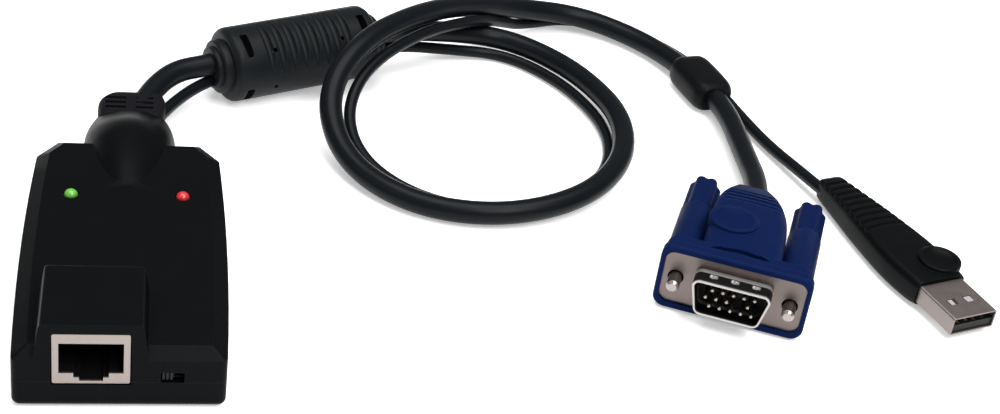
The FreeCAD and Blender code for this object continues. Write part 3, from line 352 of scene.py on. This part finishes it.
def gilded(name, colour, deeper):
    """A thin flash of gold on bronze, with faint wipe marks."""
    finish = Finish(name, colour, 0.3, metallic=1.0)
    wipes = finish.noise(1500.0, 5.0, 0.7)
    finish.feed("Base Color", finish.blend_colours(wipes, colour, deeper))
    finish.feed("Roughness", wipes * 0.2 + 0.2)
    finish.relief(wipes, 0.000002)
    return finish


gold_finish = gilded("gold_flash", (0.72, 0.52, 0.22), (0.55, 0.38, 0.14))
for number in range(1, 9):
    gold_finish.dress(node["jack_contact_%d" % number])


# ---- Lamps
# Two 3 mm lamps stand through the roof on tinned legs: green on the left for the network, red
# on the right for power. Each dome is diffused epoxy, painted lighter at its crown and darker
# round its rim: painted light on the crown and painted shade round the rim.
def lamp_epoxy(name, crown, rim):
    """Tinted epoxy, painted lighter where the dome rises out of the roof: painted light on the crown
    and painted shade round the rim.
    """
    finish = Finish(name, crown, 0.22, specular=0.5)
    height = finish.axes(finish.place())[2]
    painted_light_on_crown = height.above(0.0131, 0.0009)
    cloud = finish.noise(1400.0, 3.0)
    # The crown is painted lighter than the rim: painted light and painted shade.
    finish.feed("Base Color", finish.blend_colours(painted_light_on_crown * (0.75 + cloud * 0.4), rim, crown))
    finish.feed("Roughness", cloud * 0.12 + 0.18)
    finish.relief(cloud, 0.000003)
    return finish


green_finish = lamp_epoxy("green_epoxy", (0.11, 0.36, 0.035), (0.015, 0.08, 0.008))
green_finish.dress(node["link_led"])
red_finish = lamp_epoxy("red_epoxy", (0.48, 0.016, 0.02), (0.13, 0.003, 0.005))
red_finish.dress(node["power_led"])
tin_finish = plated("tinned_leg", (0.6, 0.6, 0.6), (0.7, 0.7, 0.7), 0.35)
tin_finish.dress(node["lamp_leads"])

# ---- Mode switch
# A small two-position slide switch, soldered on the board. Its toothed slider, in black nylon,
# shows through a slot in the front wall.
switch_finish = moulded("switch_black", (0.005, 0.005, 0.006), (0.007, 0.007, 0.008),
                        (0.014, 0.014, 0.015), 0.45, specular=0.2, depth=0.000005)
switch_finish.dress(node["mode_switch_body"], node["mode_switch_slider"])

# ---- Strain relief
# A flat boot of soft vinyl, moulded on both cables at once. Its flange is held in the collar,
# and three pairs of slots are cut across it, above and below, where the real boot bends.
def start(kind, turn=(0, 0, 0), scale=(1, 1, 1), **given):
    """A primitive, in millimetres, with its turn and scale already in its mesh."""
    bpy.ops.object.select_all(action="DESELECT")
    add = getattr(bpy.ops.mesh, "primitive_%s_add" % kind)
    add(rotation=[math.radians(angle) for angle in turn], **given)
    piece = bpy.context.object
    piece.scale = scale
    bpy.ops.object.transform_apply(location=True, rotation=True, scale=True)
    return piece


def block(left, right, front, back, low, top, round_off=0.0, segments=4):
    """A box between six faces, with its edges rounded off."""
    piece = start("cube", size=1.0)
    piece.scale = (right - left, back - front, top - low)
    piece.location = ((left + right) / 2, (front + back) / 2, (low + top) / 2)
    bpy.ops.object.transform_apply(location=True, rotation=True, scale=True)
    if round_off:
        shape_by(piece, "BEVEL", width=round_off, segments=segments)
    return piece


def shape_by(piece, kind, **settings):
    """Put a modifier on a piece and apply it."""
    bpy.context.view_layer.objects.active = piece
    modifier = piece.modifiers.new(kind.lower(), kind)
    for field, setting in settings.items():
        setattr(modifier, field, setting)
    bpy.ops.object.modifier_apply(modifier=modifier.name)


def carve(piece, *tools, way="DIFFERENCE"):
    """Cut tools out of a piece, or weld them to it."""
    for tool in tools:
        shape_by(piece, "BOOLEAN", object=tool, operation=way, solver="EXACT")
        bpy.data.objects.remove(tool)


def smooth_rows(sections, steps):
    """Rows of numbers on a smooth curve through the sections, steps to each stretch."""
    rows = []
    for index, (here, there) in enumerate(zip(sections, sections[1:])):
        before = sections[max(index - 1, 0)]
        after = sections[min(index + 2, len(sections) - 1)]
        for step in range(steps):
            share = step / steps
            rows.append([0.5 * (2 * b + (c - a) * share + (2 * a - 5 * b + 4 * c - d) * share ** 2
                                + (3 * b - a - 3 * c + d) * share ** 3)
                         for a, b, c, d in zip(before, here, there, after)])
    return rows + [list(sections[-1])]


def draw_out(sections, corner, steps=4):
    """A closed body along Y, through rounded sections: y, middle, half width, top and low."""
    rows = smooth_rows(sections, steps)
    y, middle, half, top, low = rows[0]
    piece = start("plane", turn=(90, 0, 0), size=1.0)
    piece.scale = (half * 2, 1, top - low)
    piece.location = (middle, y, (top + low) / 2)
    bpy.ops.object.transform_apply(location=True, rotation=True, scale=True)
    bpy.ops.object.mode_set(mode="EDIT")
    bpy.ops.mesh.select_all(action="SELECT")
    bpy.ops.mesh.bevel(offset=corner, segments=5, affect="VERTICES")
    bpy.ops.mesh.select_all(action="SELECT")
    for row in rows[1:]:
        new_y, new_middle, new_half, new_top, new_low = row
        centre = (new_top + new_low) / 2
        bpy.ops.mesh.extrude_region_move(TRANSFORM_OT_translate={
            "value": (new_middle - middle, new_y - y, centre - (top + low) / 2)})
        bpy.ops.transform.resize(value=(new_half / half, 1, (new_top - new_low) / (top - low)),
                                 center_override=(new_middle, new_y, centre))
        y, middle, half, top, low = row
    bpy.ops.mesh.select_all(action="SELECT")
    bpy.ops.mesh.normals_make_consistent(inside=False)
    bpy.ops.object.mode_set(mode="OBJECT")
    return piece


def seat(piece, name, place, smooth=30):
    """Name a finished piece, and bake its place, from millimetres to metres, into its mesh."""
    bpy.ops.object.select_all(action="DESELECT")
    piece.select_set(True)
    bpy.context.view_layer.objects.active = piece
    piece.name = name
    piece.matrix_world = place @ Matrix.Scale(0.001, 4)
    bpy.ops.object.transform_apply(location=True, rotation=True, scale=True)
    tidy_solid(piece)
    bpy.ops.object.shade_smooth_by_angle(angle=math.radians(smooth))


def place_at(x, y, z, yaw=0.0, roll=0.0):
    """The place of a sub-part: millimetres, and degrees about Z and its own X."""
    return (Matrix.Translation((x / 1000, y / 1000, z / 1000))
            @ Matrix.Rotation(math.radians(yaw), 4, "Z") @ Matrix.Rotation(math.radians(roll), 4, "X"))


def vinyl(name, colour, lighter, corner_wear_and_highlight_colour, roughness, specular, edge=0.0003):
    """Soft moulded vinyl, which has a coarser grain than the housing and rounder edges."""
    return moulded(name, colour, lighter, corner_wear_and_highlight_colour, roughness, specular, pitch=3000.0,
                   depth=0.00001, edge=edge)


FRONT_WALL = -46.15
SLOT_START, SLOT_PITCH, SLOT_LENGTH = 93.0, 2.1, 1.1
boot = draw_out([(90.6, 0.0, 7.2, 10.5, 4.2), (92.6, 0.0, 7.4, 10.7, 4.1),
                 (97.6, 0.2, 7.6, 10.7, 4.1), (100.2, 0.9, 6.6, 10.5, 4.2),
                 (101.4, 1.5, 5.2, 10.0, 4.6)], corner=2.2)
for number in range(3):
    front = SLOT_START + SLOT_PITCH * number
    for low, top in ((9.7, 12.0), (3.0, 5.0)):
        for left, right in ((-5.9, -1.1), (0.9, 5.0)):
            carve(boot, block(left, right, front, front + SLOT_LENGTH, low, top))
seat(boot, "cable_boot", place_at(0, FRONT_WALL, 0))
boot_finish = vinyl("boot_vinyl", (0.0055, 0.0053, 0.0066), (0.0074, 0.0070, 0.0086),
                    (0.02, 0.02, 0.024), 0.55, specular=0.03)
boot_finish.dress(boot)
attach(boot, "dongle")
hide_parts("strain_relief")


# ---- Cables
# A thick round video cable and a thin USB cable, both in satin blue-black vinyl, run side by
# side from the boot, through the choke, round one loose loop and through the junction block.
def lay_cable(name, route, diameter):
    """A round cable on a smooth line through its route, given in millimetres."""
    line = bpy.data.curves.new(name, "CURVE")
    line.dimensions = "3D"
    line.resolution_u = 16
    line.bevel_depth = diameter / 2
    line.bevel_resolution = 10
    line.use_fill_caps = True
    spline = line.splines.new("NURBS")
    spline.points.add(len(route) - 1)
    for point, (x, y, z) in zip(spline.points, route):
        point.co = (x / 1000, y / 1000, z / 1000, 1)
    spline.order_u = 3
    spline.use_endpoint_u = True
    cable = bpy.data.objects.new(name, line)
    scene.collection.objects.link(cable)
    return cable


jacket_finish = moulded("jacket_vinyl", (0.0024, 0.0034, 0.0046), (0.0034, 0.0046, 0.0060),
                        (0.0042, 0.0056, 0.0072), 0.36, specular=0.09, pitch=2200.0,
                        depth=0.000006, edge=0.0001)
video_line = lay_cable("video_line", [
    (1.0, 48.0, 7.4), (5.5, 64.0, 9.9), (20.8, 70.8, 10.1), (47.6, 82.8, 10.4),
    (64.8, 90.4, 10.6), (81.6, 98.0, 6.9), (94.0, 100.0, 4.7), (104.6, 93.4, 4.3),
    (113.9, 79.4, 4.8), (119.7, 59.9, 5.2), (116.0, 39.4, 5.0), (102.9, 23.8, 4.2),
    (82.7, 17.0, 3.3), (62.6, 21.8, 2.9), (48.4, 37.6, 4.0), (44.7, 54.9, 11.4),
    (54.0, 68.9, 19.0), (69.3, 84.3, 18.8), (84.2, 99.0, 14.4), (101.1, 111.4, 7.8),
    (118.8, 115.4, 4.4), (134.3, 105.6, 3.1), (144.0, 87.4, 3.8), (148.4, 66.9, 4.6),
    (147.7, 46.0, 4.5), (146.2, 27.0, 5.9), (142.2, 17.3, 6.5)], 0.0054)
jacket_finish.dress(video_line)
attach(video_line, "dongle")
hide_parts("video_cable")
usb_line = lay_cable("usb_line", [
    (5.2, 48.4, 6.0), (13.3, 67.5, 5.9), (32.2, 75.9, 6.05), (47.7, 82.8, 6.2),
    (64.8, 90.4, 6.3), (82.3, 95.9, 2.6), (93.4, 96.7, 1.5), (102.0, 90.8, 1.5),
    (111.0, 78.1, 1.5), (116.5, 59.7, 1.5), (113.1, 40.8, 1.5), (100.9, 26.8, 1.5),
    (82.5, 21.2, 1.5), (65.2, 26.3, 1.5), (53.4, 39.6, 2.4), (49.8, 53.4, 6.8),
    (55.0, 65.2, 13.4), (69.8, 80.6, 15.4), (86.9, 96.0, 11.8), (94.6, 104.8, 6.9),
    (102.4, 111.8, 2.5), (117.4, 119.4, 1.5), (137.2, 109.7, 1.6), (148.0, 89.1, 3.0),
    (152.6, 68.5, 2.4), (156.8, 54.0, 1.9), (161.2, 39.4, 3.2), (164.6, 28.6, 3.9)], 0.0029)
jacket_finish.dress(usb_line)
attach(usb_line, "dongle")
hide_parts("usb_cable")

# ---- Filter choke
# A sintered ferrite tube round both cables, in a satin vinyl barrel with grip grooves across one
# side. The windows and pin holes are where the mould held the core. The ring that cuts a groove
# is wider than the barrel and off its axis, so it bites on that side only.
BARREL_RADIUS, BARREL_HALF = 9.1, 19.7
END_STEPS = ((6.6, 2.1, 0.8), (5.2, 3.2, 0.5))  # radius, reach past the barrel, round-off
GROOVE_COUNT, GROOVE_PITCH = 8, 3.03
WINDOW_AT, HOLE_AT = 15.9, 9.2


def turned(radius, left, right, round_off):
    """A cylinder along X between two faces, with its end corners rounded off."""
    piece = start("cylinder", turn=(0, 90, 0), vertices=96, radius=radius, depth=right - left,
                  location=((left + right) / 2, 0, 0))
    round_rims(piece, round_off, 4)
    return piece


def round_rims(piece, round_off, segments):
    """Round the sharp rims of a turned piece."""
    shape_by(piece, "BEVEL", width=round_off, segments=segments, limit_method="ANGLE",
             angle_limit=math.radians(60))


choke = turned(BARREL_RADIUS, -BARREL_HALF, BARREL_HALF, 1.9)
for side in (-1, 1):
    for radius, reach, round_off in END_STEPS:
        left, right = sorted((side * (BARREL_HALF - 1.0), side * (BARREL_HALF + reach)))
        carve(choke, turned(radius, left, right, round_off), way="UNION")
for number in range(GROOVE_COUNT):
    middle = (number - (GROOVE_COUNT - 1) / 2) * GROOVE_PITCH
    carve(choke, start("torus", turn=(0, 90, 0), major_radius=13.0, minor_radius=1.1,
                       major_segments=120, minor_segments=16, location=(middle, 2.27, -3.01)))
for side in (-1, 1):
    for rise in (57, -38):
        middle = side * WINDOW_AT
        window = block(middle - 1.0, middle + 1.0, -12.0, -5.6, -3.2, 3.2,
                       round_off=0.4, segments=2)
        window.rotation_euler = (math.radians(-rise), 0, 0)
        carve(choke, window)
    for rise in (41, -21):
        hole = start("cylinder", turn=(90, 0, 0), vertices=20, radius=0.6, depth=4.0,
                     location=(side * HOLE_AT, -9.4, 0))
        hole.rotation_euler = (math.radians(-rise), 0, 0)
        carve(choke, hole)
seat(choke, "choke_body", place_at(39.2, 79.06, 9.1, yaw=24.0))
choke_finish = vinyl("choke_vinyl", (0.0042, 0.0053, 0.0062), (0.0058, 0.0071, 0.0082),
                     (0.024, 0.028, 0.031), 0.42, specular=0.08)
choke_finish.dress(choke)
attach(choke, "dongle")
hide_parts("choke_moulding")
ferrite_finish = moulded("sintered_ferrite", (0.002, 0.002, 0.0022), (0.003, 0.003, 0.003),
                         (0.005, 0.005, 0.005), 0.7, specular=0.1)
ferrite_finish.dress(node["ferrite_core"])

# ---- Junction block
# A small block of soft black vinyl, moulded on both cables to hold them together before they
# part. Its ends and edges are well rounded.
junction = draw_out([(-8.6, 0.0, 4.3, 3.0, -3.0), (-7.8, 0.0, 4.9, 3.6, -3.6),
                     (-5.6, 0.0, 5.5, 4.1, -4.0), (0.0, 0.0, 5.6, 4.2, -4.1),
                     (5.6, 0.0, 5.5, 4.1, -4.0), (7.8, 0.0, 4.9, 3.6, -3.6),
                     (8.6, 0.0, 4.3, 3.0, -3.0)], corner=2.4)
seat(junction, "cable_clasp", place_at(145.2, 80.8, 4.2, yaw=-166.0))
block_finish = vinyl("junction_vinyl", (0.0020, 0.0024, 0.0029), (0.0028, 0.0033, 0.0039),
                     (0.014, 0.016, 0.018), 0.42, specular=0.06)
block_finish.dress(junction)
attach(junction, "dongle")
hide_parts("cable_junction")

# ---- Video plug: shell and insulator
# A drawn D-shaped skirt on a flange of nickel-plated steel, with three dimples along its long
# side that grip the socket. The skirt is painted dark as a painted reflection of the dark hood,
# and its rims and dimples are painted bright as painted highlights. The black insulator behind
# it carries the pins.
PLUG_SPOT, PLUG_YAW, PLUG_ROLL = (127.5, -16.6, 8.1), -23.5, -2.8
PLUG_PLACE = place_at(*PLUG_SPOT, PLUG_YAW, PLUG_ROLL)
flange_finish = plated("plug_plating", (0.125, 0.102, 0.095), (0.165, 0.138, 0.13), 0.4,
                       math.radians(PLUG_YAW))
across, along, up = flange_finish.axes(flange_finish.place(
    (math.radians(PLUG_ROLL), 0.0, math.radians(PLUG_YAW)), [part / 1000 for part in PLUG_SPOT]))
ahead = -along
# The skirt is painted dark as a painted reflection of the hood; its rims and dimples are painted
# bright as painted highlights.
skirt = ahead.above(0.0007, 0.0003)
rear_rim_glint = 1.0 - ahead.above(0.0021, 0.0003)
front_rim_glint = ahead.above(0.0055, 0.0002) * 0.45
dimple_glints = 0.0
for middle in (-0.0044, 0.0002, 0.0048):
    dimple_glints = across.near(middle, 0.00085, 0.0002) + dimple_glints
dimple_glints = dimple_glints * ahead.near(0.0031, 0.0006, 0.0002) * up.above(0.003, 0.0002)
painted_highlight = (rear_rim_glint + front_rim_glint + dimple_glints).within(0.0, 1.0)
painted_dark_reflection = flange_finish.blend_colours(skirt * (1.0 - painted_highlight), flange_finish.fed("Base Color"),
                                    (0.028, 0.027, 0.027))
flange_finish.feed("Base Color", flange_finish.blend_colours(
    skirt * painted_highlight * 0.8, painted_dark_reflection, (0.85, 0.82, 0.8)))
flange_finish.dress(node["vga_shell"])
insert_finish.dress(node["vga_insulator"])


# ---- Video plug: pins
# Fourteen machined bronze pins in three rows, gold flashed, with rounded tips. One place in the
# middle row is empty.
def pick_faces(piece, wanted):
    """In edit mode, select the faces whose middle and normal pass the test."""
    bpy.ops.mesh.select_all(action="DESELECT")
    bpy.ops.object.mode_set(mode="OBJECT")
    for face in piece.data.polygons:
        face.select = wanted(face.center, face.normal)
    bpy.ops.object.mode_set(mode="EDIT")


# A row is its height over the plug's axis and its sideways shift. The empty place is counted
# as row and step, both from 0.
PIN_RADIUS, PIN_LENGTH, PIN_PITCH = 0.42, 4.6, 2.29
PIN_ROWS = ((1.98, 0.57), (0.0, -0.57), (-1.98, 0.57))
EMPTY_PLACE = (1, 3)
pin = start("cylinder", turn=(90, 0, 0), vertices=20, radius=PIN_RADIUS, depth=PIN_LENGTH,
            location=(0, -2.9, 0))
bpy.ops.object.mode_set(mode="EDIT")
bpy.ops.mesh.select_mode(type="FACE")
pick_faces(pin, lambda middle, normal: normal.y < -0.9)
bpy.ops.mesh.bevel(offset=PIN_RADIUS * 0.7, segments=5, affect="EDGES")
bpy.ops.object.mode_set(mode="OBJECT")
pins = []
for row, (height, shift) in enumerate(PIN_ROWS):
    for step in range(5):
        if (row, step) == EMPTY_PLACE:
            continue
        copy = bpy.data.objects.new("pin", pin.data.copy())
        scene.collection.objects.link(copy)
        spot = Matrix.Translation((((step - 2) * PIN_PITCH + shift) / 1000, 0, height / 1000))
        seat(copy, "pin_%d_%d" % (row, step), PLUG_PLACE @ spot, 40)
        pins.append(copy)
bpy.data.objects.remove(pin)
bpy.ops.object.select_all(action="DESELECT")
for copy in pins:
    copy.select_set(True)
bpy.context.view_layer.objects.active = pins[0]
bpy.ops.object.join()
pin_set = bpy.context.object
pin_set.name = "video_pins"
pin_finish = gilded("pin_gold", (0.34, 0.30, 0.26), (0.24, 0.21, 0.17))
pin_finish.dress(pin_set)
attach(pin_set, "dongle")
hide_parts(*["vga_pin_%d" % number for number in range(1, 15)])

# ---- Video plug: hood
# A blue vinyl overmould with a stepped bezel round the flange, two screw sleeves and a waisted
# grip. The grip has a raised thumb pad, a crescent scoop behind the bezel, and four curved
# grooves towards the cable.
SCREW_AT = 12.5
BEZEL_EASE = 0.35


def add_thumb_pad(piece, place, radius, thickness, round_off, dish_radius, dish_depth, dish_at):
    """A round pad on a grip's top, with a shallow dish in it."""
    pad = start("cylinder", vertices=72, radius=radius, depth=thickness, location=place)
    round_rims(pad, round_off, 4)
    carve(piece, pad, way="UNION")
    dish = start("uv_sphere", segments=72, ring_count=36, radius=1.0,
                 scale=(dish_radius, dish_radius, dish_depth))
    dish.location = (place[0], place[1], dish_at)
    carve(piece, dish)


def cut_curved_groove(piece, bow, segments, width, middle, place, height):
    """A groove across a grip's top that bows towards the cable, cut by part of a wide ring."""
    carve(piece, start("torus", major_radius=bow, minor_radius=width, major_segments=segments,
                       minor_segments=14, location=(middle, place - bow, height)))


hood = draw_out([(4.6, 0.0, 8.8, 7.0, -7.2), (17.0, -0.2, 8.8, 7.4, -7.2),
                 (26.0, -0.7, 8.4, 7.2, -6.6), (33.0, -1.2, 6.9, 6.5, -5.8),
                 (39.6, -1.5, 4.3, 4.7, -4.7)], corner=2.6, steps=5)
for side in (-1, 1):
    sleeve = start("cylinder", turn=(90, 0, 0), vertices=64, radius=3.8, depth=24.4,
                   location=(side * SCREW_AT, 16.8, 0))
    round_rims(sleeve, 0.4, 3)
    carve(hood, sleeve, way="UNION")
for front, back, half_width, half_height in ((-0.7, 2.3, 16.5, 7.75), (1.8, 5.4, 16.1, 7.4)):
    rim_width, rim_height = half_width - BEZEL_EASE, half_height - BEZEL_EASE
    step = draw_out([(front, 0.0, rim_width, rim_height, -rim_height),
                     (front + BEZEL_EASE, 0.0, half_width, half_height, -half_height),
                     (back - BEZEL_EASE, 0.0, half_width, half_height, -half_height),
                     (back, 0.0, rim_width, rim_height, -rim_height)], corner=2.6, steps=1)
    carve(hood, step, way="UNION")
carve(hood, draw_out([(-3.0, 0.0, 15.45, 6.3, -6.3), (0.8, 0.0, 15.45, 6.3, -6.3)],
                     corner=2.2, steps=1))
for side in (-1, 1):
    carve(hood, start("cylinder", turn=(90, 0, 0), vertices=40, radius=1.75, depth=60.0,
                      location=(side * SCREW_AT, 0, 0)))
scoop = start("cylinder", vertices=80, radius=9.4, depth=3.0, location=(-0.3, -3.3, 7.4))
carve(scoop, block(-20, 20, -20, 3.2, 0, 20))
carve(hood, scoop)
for place, height in ((28.0, 7.05), (29.8, 6.8), (31.6, 6.45), (33.4, 6.0)):
    cut_curved_groove(hood, 40.0, 256, 0.62, -0.9, place, height)
add_thumb_pad(hood, (-3.6, 17.0, 6.5), radius=5.6, thickness=3.4, round_off=0.45,
              dish_radius=4.7, dish_depth=1.3, dish_at=8.45)
seat(hood, "video_hood", PLUG_PLACE)
hood_finish = vinyl("hood_vinyl", (0.0020, 0.0066, 0.036), (0.0028, 0.0088, 0.046),
                    (0.009, 0.027, 0.115), 0.5, specular=0.02, edge=0.00035)
hood_finish.dress(hood)
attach(hood, "dongle")
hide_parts("vga_hood")

# ---- Video plug: captive screws
# Each is a lobed blue knob moulded on a stud of plated steel, which turns in the hood's sleeve.
# The stud's tip is chamfered, to find the socket's nut.
hood_finish.dress(node["left_thumb_knob"], node["right_thumb_knob"])
stud_finish = plated("stud_plating", (0.24, 0.21, 0.195), (0.32, 0.29, 0.275), 0.3,
                     math.radians(PLUG_YAW))
for side in ("left", "right"):
    stud_finish.dress(node[side + "_thumb_stud"])

# ---- USB plug
# A folded shell of nickel-plated steel with two latch windows on each side, a plastic tongue
# with four gilt contacts, and a black vinyl grip with curved grooves and a round thumb pad. The
# tongue's root is painted pale and glows a little, a painted highlight so that it shows bright
# through the windows.
USB_SPOT, USB_YAW = (182.5, -21.0, 3.9), 17.4
usb_shell_finish = plated("usb_plating", (0.18, 0.155, 0.145), (0.23, 0.2, 0.19), 0.44,
                          math.radians(USB_YAW))
usb_shell_finish.dress(node["usb_shell"])
tongue_finish = Finish("tongue_plastic", (0.004, 0.004, 0.004), 0.5, specular=0.2)
along = tongue_finish.axes(tongue_finish.place(
    (0.0, 0.0, math.radians(USB_YAW)), [part / 1000 for part in USB_SPOT]))[1]
painted_pale_root = along.above(0.0045, 0.0004)
mottle = tongue_finish.noise(900.0, 3.0)
# The root is painted pale and made to glow: a painted highlight seen through the windows.
tongue_finish.feed("Base Color", tongue_finish.blend_colours(
    painted_pale_root * (0.85 + mottle * 0.3), (0.004, 0.004, 0.004), (0.9, 0.91, 0.95)))
tongue_finish.feed("Emission Color", tongue_finish.blend_colours(
    painted_pale_root, (0.0, 0.0, 0.0), (0.5, 0.5, 0.54)))
tongue_finish.shader.inputs["Emission Strength"].default_value = 1.0
tongue_finish.feed("Roughness", mottle * 0.2 + 0.4)
tongue_finish.relief(mottle, 0.000004)
tongue_finish.dress(node["usb_insulator"])
for number in range(1, 5):
    gold_finish.dress(node["usb_contact_%d" % number])
GRIP_GROOVES, FIRST_GROOVE, GRIP_GROOVE_PITCH = 9, 34.4, 2.4
grip = draw_out([(12.4, 0.0, 6.6, 3.2, -2.9), (16.0, 0.0, 7.0, 3.4, -3.5),
                 (25.0, 0.0, 7.3, 3.5, -3.5), (38.0, 0.0, 5.9, 3.4, -3.4),
                 (47.0, 0.0, 4.6, 3.1, -3.1), (54.6, 0.0, 3.6, 2.7, -2.7),
                 (56.4, 0.0, 3.1, 2.4, -2.4), (57.2, 0.0, 2.4, 1.9, -1.9)], corner=1.7, steps=5)
for number in range(GRIP_GROOVES):
    fall = 0.045 * number + 0.006 * number ** 2
    cut_curved_groove(grip, 24.0, 200, 0.75, 0.0, FIRST_GROOVE + GRIP_GROOVE_PITCH * number,
                      3.5 - fall)
add_thumb_pad(grip, (3.5, 18.3, 2.75), radius=5.0, thickness=3.1, round_off=0.5,
              dish_radius=4.1, dish_depth=1.2, dish_at=4.5)
seat(grip, "usb_grip", place_at(*USB_SPOT, USB_YAW))
grip_finish = vinyl("grip_vinyl", (0.0012, 0.0016, 0.0018), (0.0019, 0.0024, 0.0027),
                    (0.011, 0.013, 0.014), 0.42, specular=0.05)
grip_finish.dress(grip)
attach(grip, "dongle")
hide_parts("usb_overmould")
